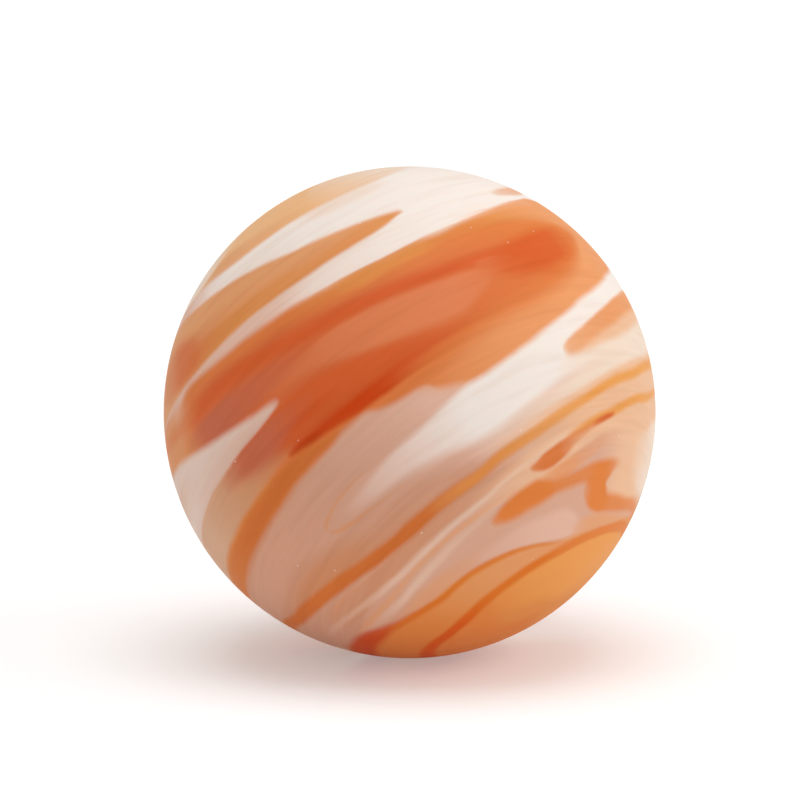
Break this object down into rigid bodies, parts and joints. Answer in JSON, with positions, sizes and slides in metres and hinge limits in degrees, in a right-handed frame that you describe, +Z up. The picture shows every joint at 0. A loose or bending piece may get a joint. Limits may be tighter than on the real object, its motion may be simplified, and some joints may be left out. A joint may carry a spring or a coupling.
{
  "type": "glass marble",
  "caption": "Solid glass ball with ribbons of orange, white and pale rose glass swirled through it and a satin, frosted surface.",
  "frame": {"origin": "centre of the ball", "axes": "+Z up, -Y towards the side that the picture shows, +X to the right of that view"},
  "size_m": [0.016, 0.016, 0.016],
  "materials": {
    "swirled_glass": "opaque swirled glass, satin frosted"
  },
  "bodies": {
    "root": {"marble": "swirled_glass"}
  },
  "joints": []
}
